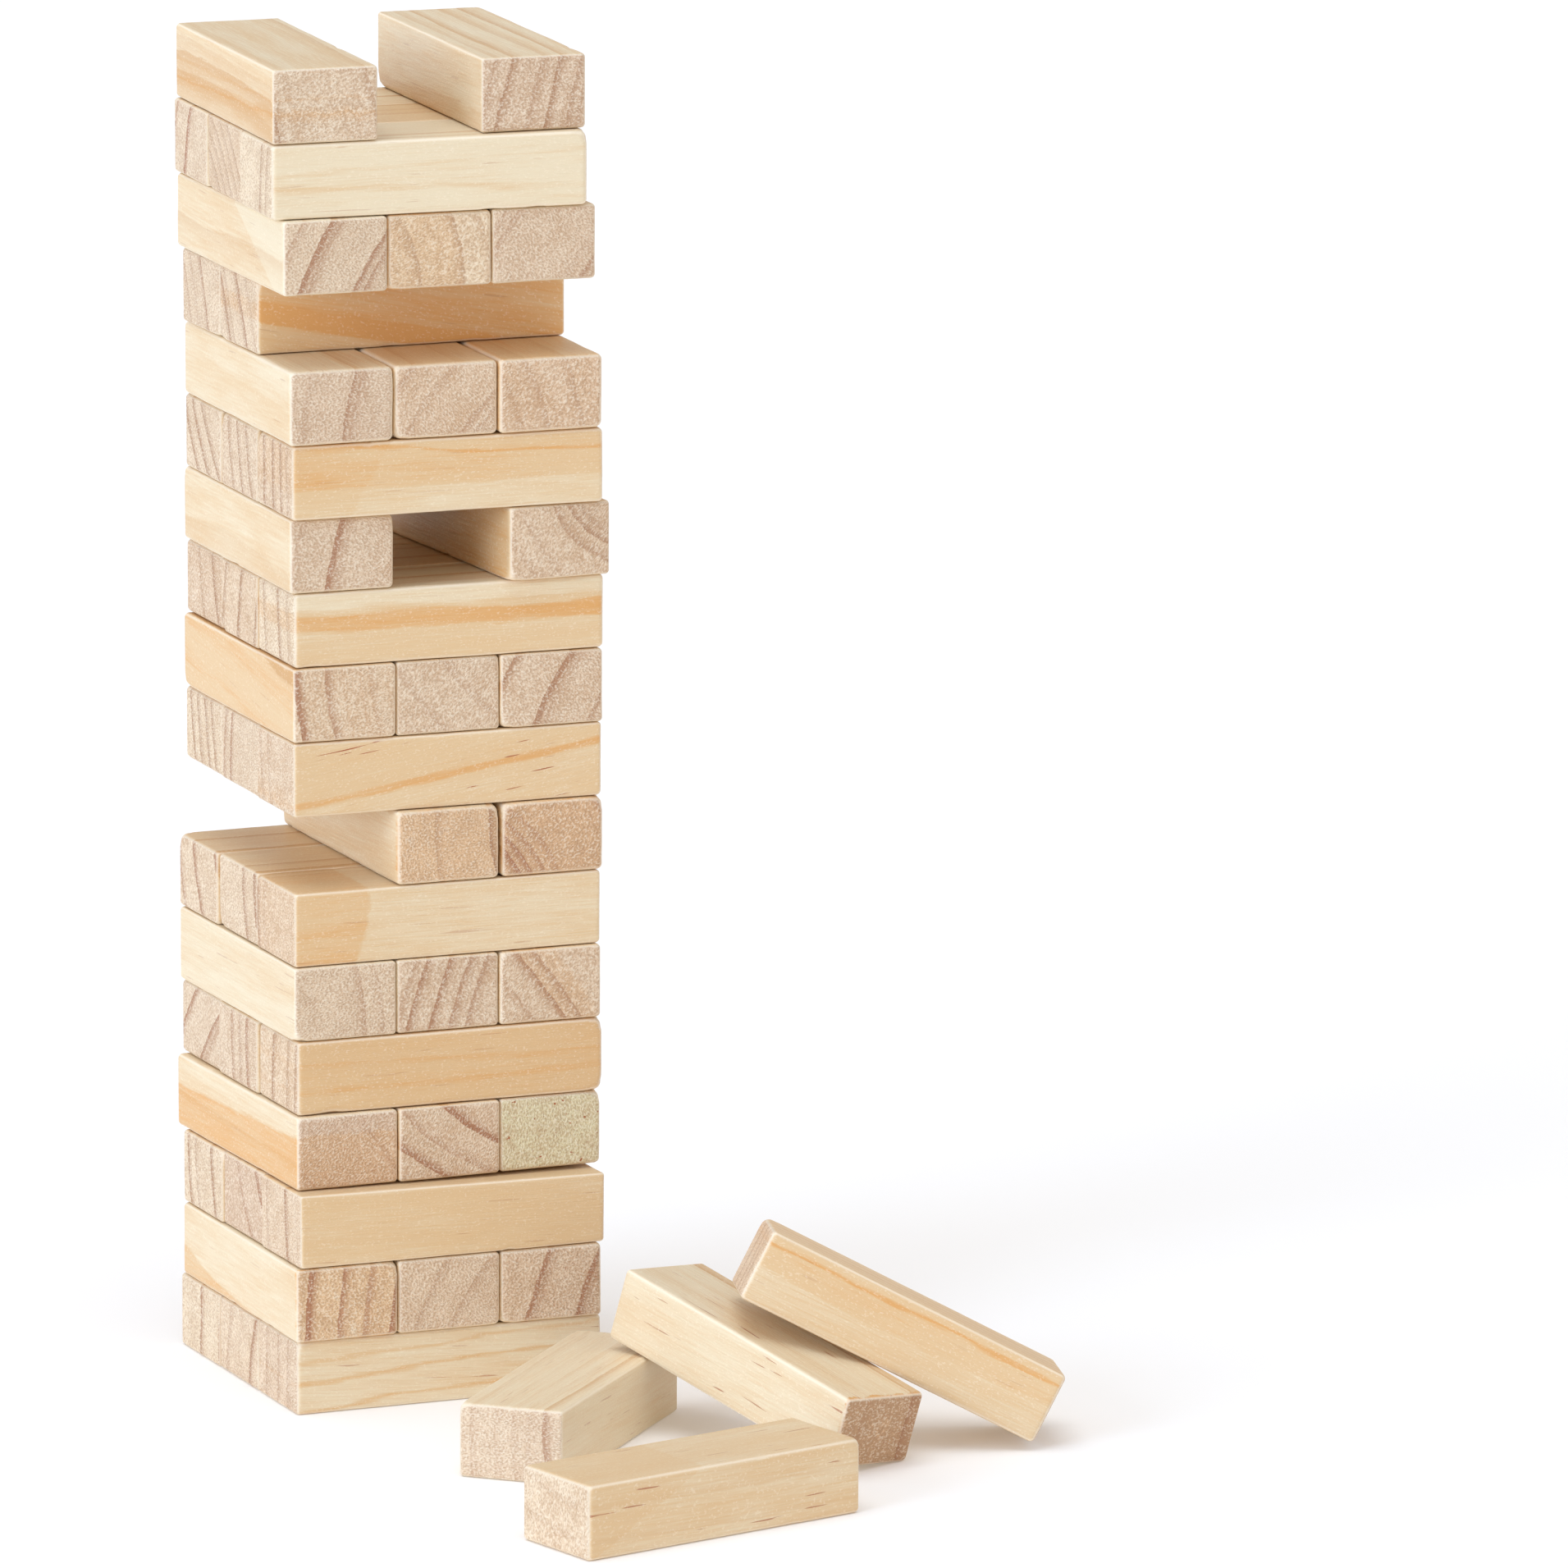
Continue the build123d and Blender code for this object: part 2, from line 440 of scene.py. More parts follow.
# Each block carries this many lines, and unused ones are a line without strength far away.
MOST_LINES = 6
NO_LINE = (60.0, 0.0)

# 1 less the largest part of a direction, where an eased edge counts as wholly eased.
FULLY_EASED = 0.3


def flat_planes(mesh):
    """Outward normal and distance from the origin of a block's six flat faces."""
    count = len(mesh.polygons)
    normals = np.empty(count * 3)
    centres = np.empty(count * 3)
    areas = np.empty(count)
    mesh.polygons.foreach_get("normal", normals)
    mesh.polygons.foreach_get("center", centres)
    mesh.polygons.foreach_get("area", areas)
    normals = normals.reshape(-1, 3)
    centres = centres.reshape(-1, 3)
    planes = []
    for i in np.argsort(-areas):
        if areas[i] < FLAT_TRIANGLE:
            break
        if all(normals[i] @ known[0] < SAME_DIRECTION for known in planes):
            planes.append((normals[i] / np.linalg.norm(normals[i]), normals[i] @ centres[i]))
    return planes


def block_corners(mesh):
    """The eight sharp corners of a block, indexed low or high along a, b and c, in metres."""
    pairs = []
    left_over = flat_planes(mesh)
    while left_over:
        first = left_over.pop(0)
        second = min(left_over, key=lambda plane: plane[0] @ first[0])
        left_over = [plane for plane in left_over if plane is not second]
        pairs.append((first[1] + second[1], first, second))
    pairs.sort(key=lambda pair: -pair[0])
    along, across, up = [(second, first) for _, first, second in pairs]
    if up[1][0][2] < up[0][0][2]:
        up = up[::-1]
    if along[1][0] @ TOWARDS_VIEWER < along[0][0] @ TOWARDS_VIEWER:
        along = along[::-1]
    right = np.cross(up[1][0], along[1][0])
    if across[1][0] @ right < across[0][0] @ right:
        across = across[::-1]
    corners = np.empty((2, 2, 2, 3))
    for i in (0, 1):
        for j in (0, 1):
            for k in (0, 1):
                meeting = (along[i], across[j], up[k])
                facing = np.array([plane[0] for plane in meeting])
                offset = np.array([plane[1] for plane in meeting])
                corners[i, j, k] = np.linalg.solve(facing, offset)
    return corners


def axis_steps(half):
    """Grid lines along one axis: (fraction of the flat part, tangent of the strip angle)."""
    cells = max(2, round(2 * (half - SUPPORT) / CELL))
    inner = 1.0 - SUPPORT / half
    flat = [(-1.0, 0.0)] + [(x, 0.0) for x in np.linspace(-inner, inner, cells + 1)] + [(1.0, 0.0)]
    rise = [(1.0, math.tan(math.radians(angle))) for angle in STRIP_ANGLES]
    fall = [(-1.0, -tangent) for _, tangent in reversed(rise)]
    return fall + flat + rise


def skin_grid(halves):
    """Shared vertices and faces of a box skin, each vertex as a fraction and a strip tangent."""
    steps = [axis_steps(half) for half in halves]
    counts = [len(step) for step in steps]
    index = {}
    fractions = []
    tangents = []

    def vertex(place):
        if place not in index:
            index[place] = len(fractions)
            picked = [steps[axis][place[axis]] for axis in range(3)]
            fractions.append([step[0] for step in picked])
            tangents.append([step[1] for step in picked])
        return index[place]

    faces = []
    for axis in range(3):
        first, second = (axis + 1) % 3, (axis + 2) % 3
        for end in (0, counts[axis] - 1):
            for i in range(counts[first] - 1):
                for j in range(counts[second] - 1):
                    ring = []
                    for di, dj in ((0, 0), (1, 0), (1, 1), (0, 1)):
                        place = [0, 0, 0]
                        place[axis] = end
                        place[first] = i + di
                        place[second] = j + dj
                        ring.append(vertex(tuple(place)))
                    faces.append(ring if end else ring[::-1])
    return np.array(fractions), np.array(tangents), faces


FRACTIONS, TANGENTS, FACES = skin_grid(HALVES)


def ripple(points, chance, wavelength):
    """Smooth random field of about -1 to 1 over points in mm."""
    total = np.zeros(len(points))
    for _ in range(WAVES):
        wave = np.array([chance.gauss(0, 1) for _ in range(3)])
        longer = chance.uniform(0.7, 1.5)
        wave *= 2 * math.pi / (np.linalg.norm(wave) * wavelength * longer)
        total += np.sin(points @ wave + chance.uniform(0, 2 * math.pi))
    return total / math.sqrt(WAVES * 1.5)


def worn_block(corners, look, chance, snug):
    """One eased, slightly knocked block: its vertices in metres, then the same points in
    its own axes in mm, and the way each of them faces."""
    sharp = FRACTIONS * HALVES
    broad = ripple(sharp, chance, BROAD_RIPPLE)
    fine = ripple(sharp, chance, FINE_RIPPLE)
    radius = look["rounding"] * (1.0 + BROAD_SHARE * broad + FINE_SHARE * fine)
    for _ in range(chance.randint(*NICKS)):
        nick = np.array([chance.choice((-1, 1)) * half for half in HALVES])
        if chance.random() < NICKS_AWAY_FROM_CORNERS:
            nick[0] = chance.uniform(-HALVES[0], HALVES[0])
        reach = chance.uniform(*NICK_REACH)
        depth = chance.uniform(*NICK_DEPTH)
        radius += depth * np.exp(-((sharp - nick) ** 2).sum(1) / reach**2)
    radius = np.clip(radius, SNUG_RADIUS if snug else LEAST_RADIUS, MOST_RADIUS)[:, None]
    direction = TANGENTS / np.linalg.norm(TANGENTS, axis=1, keepdims=True)
    local = FRACTIONS * (HALVES - radius) + radius * direction
    hollow = FACE_HEIGHT * (1.0 + ripple(local, chance, FACE_RIPPLE))
    for _ in range(chance.randint(*DENTS)):
        dent = np.array([chance.uniform(-half, half) for half in HALVES])
        axis = chance.choice((1, 2))
        dent[axis] = chance.choice((-1, 1)) * HALVES[axis]
        reach = chance.uniform(*DENT_REACH)
        depth = chance.uniform(*DENT_DEPTH)
        hollow += depth * np.exp(-((local - dent) ** 2).sum(1) / reach**2)
    local = local - np.clip(hollow, 0.0, DEEPEST_DENT)[:, None] * direction
    share = (local / HALVES + 1.0) / 2.0
    placed = np.zeros((len(local), 3))
    for i in (0, 1):
        for j in (0, 1):
            for k in (0, 1):
                weight = (
                    (share[:, 0] if i else 1 - share[:, 0])
                    * (share[:, 1] if j else 1 - share[:, 1])
                    * (share[:, 2] if k else 1 - share[:, 2])
                )
                placed += weight[:, None] * corners[i, j, k]
    return placed, local, direction


def log_place(local, look, chance):
    """Each point in the log: along the grain, towards the pith and round it, in mm."""
    angle, distance = look["pith"]
    angle = math.radians(angle)
    behind = HALVES[0] - local[:, 0]
    right = distance * math.cos(angle) - local[:, 1]
    above = distance * math.sin(angle) - local[:, 2] + look["slant"] * behind
    radius = np.hypot(right, above)
    turn = np.arctan2(above, right) - angle
    turn = (turn + math.pi) % (2 * math.pi) - math.pi
    wander = LOG_WANDER * ripple(local * ALONG_THE_GRAIN, chance, LOG_RIPPLE)
    towards = distance - radius + look["lean"] * behind + wander
    return np.column_stack([local[:, 0], towards, turn * distance])


def band_values(local, towards, look):
    """Signed distance from up to three band edges, with each band's half width and tone."""
    signed = np.zeros((len(local), 3))
    half = np.zeros(3)
    tone = np.zeros(3)
    for i, (axis, k0, k1, k2, width, shift) in enumerate(look["bands"]):
        across = {"a": local[:, 0], "c": local[:, 2], "q": towards}[axis]
        along = local[:, 2] if axis == "a" else local[:, 0]
        distance = across - (k0 + k1 * along + k2 * along * along)
        open_side = width in (-1, 1)
        signed[:, i] = width * distance - OPEN_BAND if open_side else distance
        half[i] = OPEN_BAND if open_side else width
        tone[i] = shift
    return signed, half, tone


def add_values(mesh, name, values):
    """Stores one number or three numbers a vertex for the material to read."""
    values = np.asarray(values, dtype=np.float32)
    kind, key = ("FLOAT_VECTOR", "vector") if values.ndim == 2 else ("FLOAT", "value")
    layer = mesh.attributes.new(name, kind, "POINT")
    layer.data.foreach_set(key, values.ravel())


def at_limit(node):
    """Whether a block is one of those that set the size of the model seen from above."""
    block_and_model = list(zip(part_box(node), cad_box))
    gaps = [abs(block[axis] - model[axis]) for block, model in block_and_model for axis in (0, 1)]
    return min(gaps) < LIMIT_REACH


def make_block(node, body, material):
    """Builds one worn block in place of its CAD node, on the body that carries it."""
    chance = random.Random("block " + node)
    look = look_of(node)
    corners = block_corners(frame["nodes"][node].data)
    snug = "leaning" in node or at_limit(node)
    placed, local, direction = worn_block(corners, look, chance, snug)
    mesh = bpy.data.meshes.new("wood_" + node)
    mesh.from_pydata(placed.tolist(), [], FACES)
    mesh.polygons.foreach_set("use_smooth", [True] * len(mesh.polygons))
    count = len(local)
    place = log_place(local, look, chance)
    towards_pith = place[:, 1]
    signed, half, tone = band_values(local, towards_pith, look)
    offset = np.array([chance.uniform(0, 400) for _ in range(3)])
    facing_end = direction[:, 0] ** 2
    # How far round an eased edge a point lies; the material pales these edges, partly as rubbed
    # wear and partly as a painted highlight.
    eased = (1.0 - np.abs(direction).max(1)) / FULLY_EASED
    lines = (list(look["lines"]) + [NO_LINE] * MOST_LINES)[:MOST_LINES]
    places, strengths = zip(*lines)

    def same(*values):
        return np.tile(values, (count, 1))

    add_values(mesh, "grain_place", place + offset)
    add_values(mesh, "towards_pith", towards_pith)
    wood_look = np.column_stack([facing_end, eased, np.full(count, look["tone"])])
    add_values(mesh, "wood_look", wood_look)
    add_values(mesh, "wood_kind", same(look["pink"], look["warm"], look["faint"]))
    add_values(mesh, "wood_marks", same(look["dashes"], look["specks"], look["spacing"]))
    add_values(mesh, "line_places_1", same(*places[:3]))
    add_values(mesh, "line_places_2", same(*places[3:]))
    add_values(mesh, "line_strengths_1", same(*strengths[:3]))
    add_values(mesh, "line_strengths_2", same(*strengths[3:]))
    add_values(mesh, "band_distance", signed)
    add_values(mesh, "band_half", same(*half))
    add_values(mesh, "band_tone", same(*tone))
    mesh.materials.append(material)
    mesh.update()
    piece = bpy.data.objects.new("pine_" + node, mesh)
    scene.collection.objects.link(piece)
    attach(piece, body)
    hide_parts(node)


# ---------------------------------------------------------------------------------------
# Materials
# ---------------------------------------------------------------------------------------


def linear(red, green, blue):
    """A display colour of 0 to 255 as scene light."""
    shares = [value / 255.0 for value in (red, green, blue)]
    return tuple(s / 12.92 if s <= 0.04045 else ((s + 0.055) / 1.055) ** 2.4 for s in shares)


class Nodes:
    """Short spellings for the few shader nodes that the materials use."""

    def __init__(self, material):
        material.use_nodes = True
        self.tree = material.node_tree
        self.tree.nodes.clear()

    def add(self, kind, **settings):
        """A new node with these properties set."""
        node = self.tree.nodes.new(kind)
        for key, value in settings.items():
            setattr(node, key, value)
        return node

    def feed(self, socket, value):
        """Links another node's output to an input, or sets the input to a plain value."""
        if isinstance(value, bpy.types.NodeSocket):
            self.tree.links.new(value, socket)
        else:
            socket.default_value = value

    def attribute(self, name):
        return self.add("ShaderNodeAttribute", attribute_name=name)

    def math(self, operation, *values):
        node = self.add("ShaderNodeMath", operation=operation)
        for socket, value in zip(node.inputs, values):
            self.feed(socket, value)
        return node.outputs[0]

    def times(self, first, second):
        return self.math("MULTIPLY", first, second)

    def clamp(self, value):
        return self.math("MINIMUM", self.math("MAXIMUM", value, 0.0), 1.0)

    def remap(self, value, low, high):
        """0 at low and 1 at high, with a smooth step between them."""
        node = self.add("ShaderNodeMapRange", interpolation_type="SMOOTHSTEP")
        for socket, item in zip(node.inputs, (value, low, high, 0.0, 1.0)):
            self.feed(socket, item)
        return node.outputs[0]

    def cover(self, value, low, high, share):
        """How strongly a layer covers where the value runs from low to high."""
        return self.times(self.remap(value, low, high), share)

    def noise(self, place, stretch, detail, roughness):
        """Noise of 0 to 1, stretched by its own factor along each axis of place."""
        stretched = self.add("ShaderNodeVectorMath", operation="MULTIPLY")
        self.feed(stretched.inputs[0], place)
        self.feed(stretched.inputs[1], stretch)
        node = self.add("ShaderNodeTexNoise")
        self.feed(node.inputs["Vector"], stretched.outputs[0])
        node.inputs["Scale"].default_value = 1.0
        node.inputs["Detail"].default_value = detail
        node.inputs["Roughness"].default_value = roughness
        return node.outputs[0]

    def mix(self, share, first, second):
        """The second colour laid over the first, as strongly as share says."""
        node = self.add("ShaderNodeMix", data_type="RGBA", blend_type="MIX")
        sockets = [socket for socket in node.inputs if socket.type == "RGBA"]
        self.feed(node.inputs[0], share)
        for socket, value in zip(sockets, (first, second)):
            self.feed(socket, (*value, 1.0) if isinstance(value, tuple) else value)
        return [socket for socket in node.outputs if socket.type == "RGBA"][0]

    def ramp(self, value, stops):
        """A grey curve through (position, level) stops."""
        node = self.add("ShaderNodeValToRGB")
        self.feed(node.inputs[0], value)
        elements = node.color_ramp.elements
        while len(elements) < len(stops):
            elements.new(0.5)
        for element, (position, level) in zip(elements, stops):
            element.position = position
            element.color = (level, level, level, 1.0)
        return node.outputs[0]

    def split(self, vector):
        node = self.add("ShaderNodeSeparateXYZ")
        self.feed(node.inputs[0], vector)
        return node.outputs


CREAM = linear(230, 213, 180)
GOLD = linear(221, 188, 142)
TAN = linear(218, 162, 95)
SIDE_LINE = linear(198, 144, 78)
DASH_BROWN = linear(168, 94, 52)
END_CREAM = linear(231, 209, 177)
END_PINK = linear(214, 184, 155)
END_YELLOW = linear(216, 205, 162)
END_HOLLOW = linear(174, 134, 98)
LINE_GREY = linear(166, 122, 84)
LINE_RED = linear(160, 94, 60)
# Pale torn fibres; laid along the eased edges the same colour is also a painted highlight.
PALE_FUZZ_AND_HIGHLIGHT = linear(250, 237, 214)


# Noises: how fast each changes along the grain, towards the pith and round it, per mm, then
# its detail and roughness.
WANDER_NOISE = ((0.05, 0.30, 0.30), 3.0, 0.6)
FUZZ_NOISE = ((0.12, 1.1, 1.1), 2.0, 0.65)
FIBRE_NOISE = ((0.12, 2.8, 2.8), 2.0, 0.6)
CLOUD_NOISE = ((0.03, 0.22, 0.22), 2.0, 0.5)
STIPPLE_NOISE = ((1.8, 2.1, 3.0), 1.0, 0.5)
DASH_NOISE = ((0.10, 1.9, 1.9), 1.0, 0.4)
SPECK_NOISE = ((1.1, 1.1, 1.1), 1.0, 0.5)

# Shares of the wander and the fuzz, in mm, in the edge of a growth ring and of a band.
RING_EDGE = (0.7, 0.40)
BAND_EDGE = (2.4, 1.1)

# A late-wood line across its width: a ramp that covers 4 mm, with the line's place in its
# middle. It is sharp on the side away from the pith and fades towards it.
LINE_WIDTH = 4.0
LINE_SHAPE = ((0.42, 0.0), (0.46, 0.90), (0.57, 0.78), (0.72, 0.38), (1.0, 0.0))

# An ordinary growth ring from one to the next, and how much of one counts as a line.
RING_SHAPE = ((0.0, 0.1), (0.08, 0.9), (0.35, 0.45), (0.8, 0.0), (1.0, 0.1))
RING_SHARE = 0.5

# Where a value starts to show and where it shows in full, smoothly between the two.
END_FACE = (0.25, 0.75)
INSIDE_BAND = (-0.5, 0.4)
CREAM_TO_GOLD = (0.0, 0.5)
GOLD_TO_TAN = (0.5, 1.0)
DASHES = (0.71, 0.76)
SPECKS = (0.70, 0.76)

# The same for whole layers of colour, each with how strongly it covers what is under it.
SIDE_FUZZ = (0.58, 0.72, 0.26)
END_TAN = (0.2, 1.1, 0.45)
END_DARK = (1.0, 2.2, 0.60)
END_CLOUDS = (0.35, 0.70, 0.22)
END_HOLLOWS = (0.50, 0.34, 0.42)
END_FUZZ = (0.52, 0.66, 0.42)
# Eased edges laid pale: partly rubbed wear, partly a painted highlight.
RUBBED_EDGE_AND_HIGHLIGHT = (0.1, 0.9, 0.55)
SIDE_LINE_COVER = 0.72
DASH_COVER = 0.75
END_LINE_COVER = 0.78

# How far the clouds and the fibres move the tone of the wood.
CLOUD_TONE = 0.5
FIBRE_TONE = 0.5

# Relief of the end grain against that of the sides, and the gloss of both.
SIDE_STIPPLE = 0.5
END_BUMP = 4.5
BUMP_STRENGTH = 0.6
BUMP_HEIGHT = 0.15 * MM
SIDE_ROUGHNESS = 0.45
END_ROUGHNESS_MORE = 0.15
WOOD_SPECULAR = 0.55

FLOOR_COLOUR = (0.88, 0.86, 0.83, 1.0)
FLOOR_GLOW_COLOUR = (1.0, 0.94, 0.86, 1.0)
FLOOR_GLOW = 0.13


def pine_material():
    """Bare pine, drawn from the values that every block carries on its vertices."""
    material = bpy.data.materials.new("bare_pine")
    n = Nodes(material)
    place = n.attribute("grain_place").outputs["Vector"]
    towards = n.attribute("towards_pith").outputs["Fac"]
    end, eased, tone = n.split(n.attribute("wood_look").outputs["Vector"])
    pink, warm, faint = n.split(n.attribute("wood_kind").outputs["Vector"])
    dashy, specky, spacing = n.split(n.attribute("wood_marks").outputs["Vector"])
    end_share = n.remap(end, *END_FACE)
    side_share = n.math("SUBTRACT", 1.0, end_share)

    # Noise that the parts below share.
    wander = n.math("SUBTRACT", n.noise(place, *WANDER_NOISE), 0.5)
    fuzz = n.math("SUBTRACT", n.noise(place, *FUZZ_NOISE), 0.5)
    fibres = n.noise(place, *FIBRE_NOISE)
    clouds = n.noise(place, *CLOUD_NOISE)
    stipple = n.noise(place, *STIPPLE_NOISE)

    def uneven(wander_share, fuzz_share):
        return n.math("MULTIPLY_ADD", wander, wander_share, n.times(fuzz, fuzz_share))

    along = n.math("ADD", towards, uneven(*RING_EDGE))

    # Late-wood lines.
    late = None
    for half in (1, 2):
        spots = n.split(n.attribute(f"line_places_{half}").outputs["Vector"])
        powers = n.split(n.attribute(f"line_strengths_{half}").outputs["Vector"])
        for spot, power in zip(spots, powers):
            past = n.math("SUBTRACT", along, spot)
            across = n.math("MULTIPLY_ADD", past, 1.0 / LINE_WIDTH, 0.5)
            line = n.times(n.ramp(across, LINE_SHAPE), power)
            late = line if late is None else n.math("MAXIMUM", late, line)
    late = n.math("MINIMUM", late, 1.0)

    # The ordinary growth rings between them, each of its own strength.
    rings = n.math("DIVIDE", along, spacing)
    which = n.add("ShaderNodeTexWhiteNoise", noise_dimensions="1D")
    n.feed(which.inputs["W"], n.math("FLOOR", rings))
    ring = n.ramp(n.math("FRACT", rings), RING_SHAPE)
    ring = n.times(n.times(ring, which.outputs["Value"]), faint)

    # Areas of another tone.
    signed = n.split(n.attribute("band_distance").outputs["Vector"])
    halves = n.split(n.attribute("band_half").outputs["Vector"])
    shifts = n.split(n.attribute("band_tone").outputs["Vector"])
    rough_edge = uneven(*BAND_EDGE)
    shift = None
    for distance, half, amount in zip(signed, halves, shifts):
        off_middle = n.math("ABSOLUTE", n.math("ADD", distance, rough_edge))
        inside = n.math("SUBTRACT", half, off_middle)
        part = n.times(n.remap(inside, *INSIDE_BAND), amount)
        shift = part if shift is None else n.math("ADD", shift, part)

    # Side grain, from cream through golden to tan.
    level = n.math("ADD", tone, shift)
    level = n.math("MULTIPLY_ADD", n.math("SUBTRACT", clouds, 0.5), CLOUD_TONE, level)
    level = n.math("MULTIPLY_ADD", n.math("SUBTRACT", fibres, 0.5), FIBRE_TONE, level)
    level = n.math("ADD", level, n.times(ring, RING_SHARE))
    side = n.mix(n.remap(level, *CREAM_TO_GOLD), CREAM, GOLD)
    side = n.mix(n.remap(level, *GOLD_TO_TAN), side, TAN)
    side = n.mix(n.times(late, SIDE_LINE_COVER), side, SIDE_LINE)
    dashes = n.times(n.remap(n.noise(place, *DASH_NOISE), *DASHES), dashy)
    side = n.mix(n.times(dashes, DASH_COVER), side, DASH_BROWN)
    side = n.mix(n.cover(stipple, *SIDE_FUZZ), side, PALE_FUZZ_AND_HIGHLIGHT)

    # End grain: torn fibres as a pale fuzz over darker hollows.
    ends = n.mix(n.clamp(pink), END_CREAM, END_PINK)
    ends = n.mix(n.clamp(n.times(pink, -1.0)), ends, END_YELLOW)
    ends = n.mix(n.cover(level, *END_TAN), ends, TAN)
    ends = n.mix(n.cover(level, *END_DARK), ends, END_HOLLOW)
    ends = n.mix(n.cover(clouds, *END_CLOUDS), ends, END_HOLLOW)
    ends = n.mix(n.cover(stipple, *END_HOLLOWS), ends, END_HOLLOW)
    lines = n.math("ADD", late, n.times(ring, RING_SHARE))
    line_colour = n.mix(warm, LINE_GREY, LINE_RED)
    ends = n.mix(n.times(lines, END_LINE_COVER), ends, line_colour)
    ends = n.mix(n.cover(stipple, *END_FUZZ), ends, PALE_FUZZ_AND_HIGHLIGHT)
    specks = n.times(n.remap(n.noise(place, *SPECK_NOISE), *SPECKS), specky)
    ends = n.mix(specks, ends, DASH_BROWN)

    # Eased edges are rubbed pale and carry a painted highlight.
    colour = n.mix(end_share, side, ends)
    colour = n.mix(n.cover(eased, *RUBBED_EDGE_AND_HIGHLIGHT), colour, PALE_FUZZ_AND_HIGHLIGHT)

    side_height = n.times(n.math("ADD", fibres, n.times(stipple, SIDE_STIPPLE)), side_share)
    end_height = n.times(n.times(stipple, end_share), END_BUMP)
    bump = n.add("ShaderNodeBump")
    bump.inputs["Strength"].default_value = BUMP_STRENGTH
    bump.inputs["Distance"].default_value = BUMP_HEIGHT
    n.feed(bump.inputs["Height"], n.math("ADD", side_height, end_height))

    shader = n.add("ShaderNodeBsdfPrincipled")
    n.feed(shader.inputs["Base Color"], colour)
    roughness = n.math("MULTIPLY_ADD", end_share, END_ROUGHNESS_MORE, SIDE_ROUGHNESS)
    n.feed(shader.inputs["Roughness"], roughness)
    shader.inputs["Specular IOR Level"].default_value = WOOD_SPECULAR
    n.feed(shader.inputs["Normal"], bump.outputs[0])
    out = n.add("ShaderNodeOutputMaterial")
    n.feed(out.inputs["Surface"], shader.outputs[0])
    return material


def floor_material():
    """Matt white paper with a trace of glow, which keeps the shadows on it light."""
    material = bpy.data.materials.new("studio_floor")
    n = Nodes(material)
    shader = n.add("ShaderNodeBsdfPrincipled")
    shader.inputs["Base Color"].default_value = FLOOR_COLOUR
    shader.inputs["Roughness"].default_value = 0.9
    shader.inputs["Specular IOR Level"].default_value = 0.1
    shader.inputs["Emission Color"].default_value = FLOOR_GLOW_COLOUR
    shader.inputs["Emission Strength"].default_value = FLOOR_GLOW
    out = n.add("ShaderNodeOutputMaterial")
    n.feed(out.inputs["Surface"], shader.outputs[0])
    return material


# ---------------------------------------------------------------------------------------
# Build
# ---------------------------------------------------------------------------------------

pine = pine_material()
node_body = {}
for joint_or_body, members in frame["record"]["behaviour"]["bodies"].items():
    for member in members:
        node_body[member] = joint_or_body
for node in sorted(frame["nodes"]):
    make_block(node, node_body[node], pine)

# ---------------------------------------------------------------------------------------
# Stage, light and camera
# ---------------------------------------------------------------------------------------

# The floor lies a hair below the blocks and reaches far enough to look endless.
FLOOR_HALF = 40.0
FLOOR_LEVEL = -0.02 * MM
QUARTERS = ((-1, -1), (1, -1), (1, 1), (-1, 1))
floor_corners = [(x * FLOOR_HALF, y * FLOOR_HALF, FLOOR_LEVEL) for x, y in QUARTERS]
floor_mesh = bpy.data.meshes.new("floor")
floor_mesh.from_pydata(floor_corners, [], [(0, 1, 2, 3)])
floor_mesh.materials.append(floor_material())
floor = bpy.data.objects.new("studio_floor", floor_mesh)
scene.collection.objects.link(floor)

# The studio is one big soft tent, bright and cool above and in front on the left, dim and
# warm on the far side, with a white strip along the horizon that the floor runs into.
BRIGHT_SIDE = (-0.65, -0.45, 0.90)
COOL_LIGHT = (0.745, 0.78, 0.86)
WARM_LIGHT = (0.26, 0.24, 0.21)
HORIZON_LIGHT = (1.45, 1.25, 1.02)
HORIZON_TOP = 0.22
HORIZON_FULL = 0.07


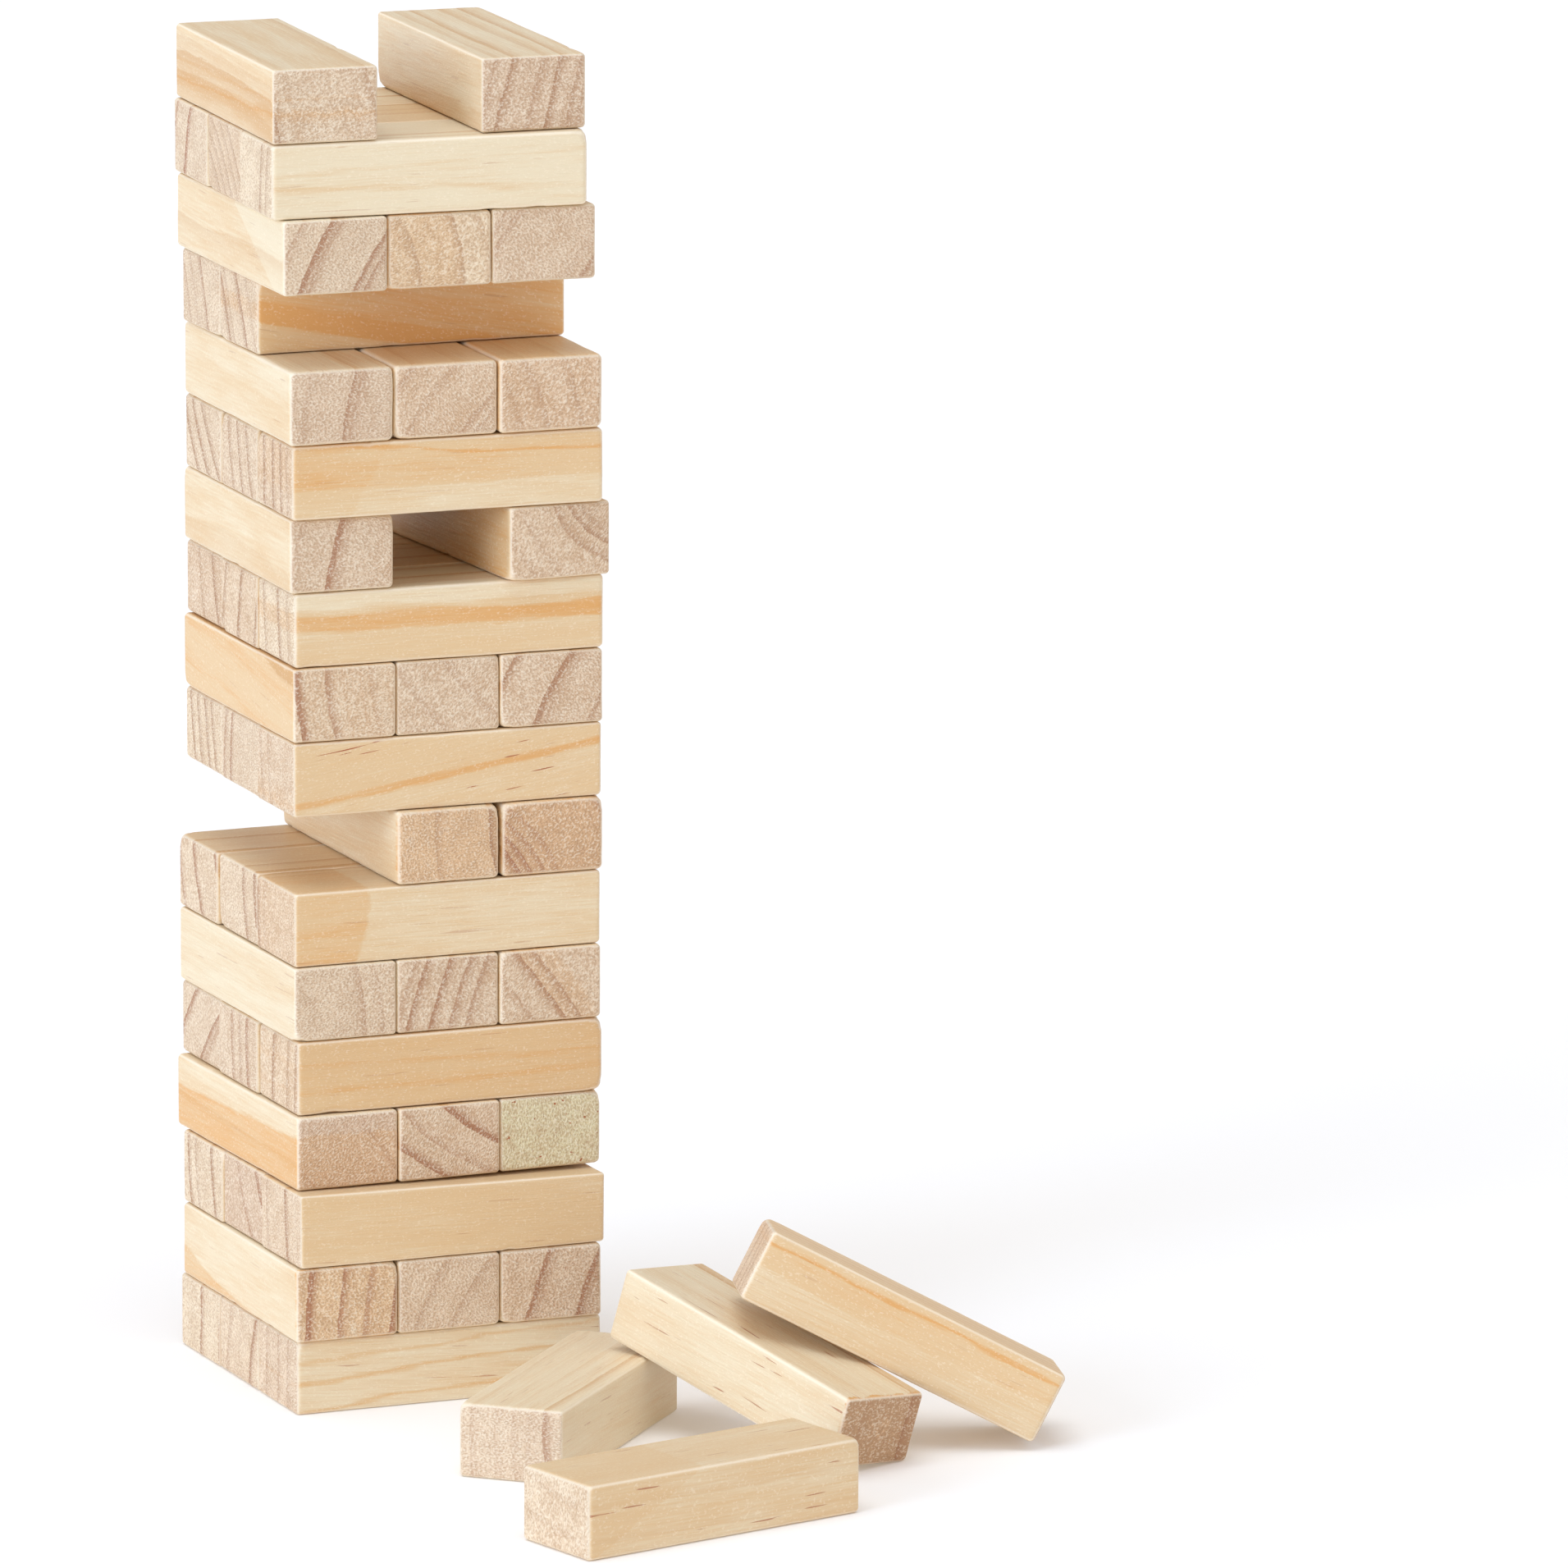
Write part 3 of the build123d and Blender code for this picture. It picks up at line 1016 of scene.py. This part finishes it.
def studio_world():
    """The light of the tent by direction."""
    world = bpy.data.worlds.new("studio")
    n = Nodes(world)
    direction = n.add("ShaderNodeTexCoord").outputs["Generated"]
    lean = n.add("ShaderNodeVectorMath", operation="DOT_PRODUCT")
    n.feed(lean.inputs[0], direction)
    n.feed(lean.inputs[1], Vector(BRIGHT_SIDE).normalized())
    brightness = n.math("MULTIPLY_ADD", lean.outputs["Value"], 0.5, 0.5)
    sky = n.mix(brightness, WARM_LIGHT, COOL_LIGHT)
    horizon = n.remap(n.split(direction)[2], HORIZON_TOP, HORIZON_FULL)
    sky = n.mix(horizon, sky, HORIZON_LIGHT)
    background = n.add("ShaderNodeBackground")
    n.feed(background.inputs["Color"], sky)
    out = n.add("ShaderNodeOutputWorld")
    n.feed(out.inputs["Surface"], background.outputs[0])
    return world


def soft_light(name, towards, strength, spread, colour):
    """A broad light from far away, so the floor is lit alike everywhere."""
    data = bpy.data.lights.new(name, "SUN")
    data.energy = strength
    data.angle = math.radians(spread)
    data.color = colour
    light = bpy.data.objects.new(name, data)
    light.rotation_euler = Vector(towards).to_track_quat("Z", "Y").to_euler()
    scene.collection.objects.link(light)


scene.world = studio_world()
soft_light("key_left", (-3.2, -1.2, 1.0), 1.28, 28.0, (0.77, 0.98, 1.32))
soft_light("overhead", (-0.4, -0.3, 3.0), 1.00, 42.0, (0.97, 1.0, 1.04))

# The photograph's view: place in metres, the way it looks in degrees, and lens in mm.
CAMERA_PLACE = (-0.9747, -2.5001, 0.6588)
CAMERA_AZIMUTH = math.radians(67.15)
CAMERA_ELEVATION = math.radians(-11.56)
CAMERA_ROLL = math.radians(0.2)
CAMERA_LENS = 341.9
SENSOR_WIDTH = 36.0
CLIP_START = 0.1
CLIP_END = 40.0

forward = Vector(
    (
        math.cos(CAMERA_ELEVATION) * math.cos(CAMERA_AZIMUTH),
        math.cos(CAMERA_ELEVATION) * math.sin(CAMERA_AZIMUTH),
        math.sin(CAMERA_ELEVATION),
    )
)
level_right = Vector((math.sin(CAMERA_AZIMUTH), -math.cos(CAMERA_AZIMUTH), 0.0))
level_up = level_right.cross(forward)
camera_right = level_right * math.cos(CAMERA_ROLL) + level_up * math.sin(CAMERA_ROLL)
camera_up = level_up * math.cos(CAMERA_ROLL) - level_right * math.sin(CAMERA_ROLL)
facing = Matrix((camera_right, camera_up, -forward)).transposed().to_4x4()

camera_data = bpy.data.cameras.new("photo_view")
camera_data.lens = CAMERA_LENS
camera_data.sensor_width = SENSOR_WIDTH
camera_data.clip_start = CLIP_START
camera_data.clip_end = CLIP_END
camera = bpy.data.objects.new("photo_view", camera_data)
camera.matrix_world = Matrix.Translation(CAMERA_PLACE) @ facing
scene.collection.objects.link(camera)
scene.camera = camera

scene.view_settings.view_transform = "Standard"
scene.view_settings.look = "None"
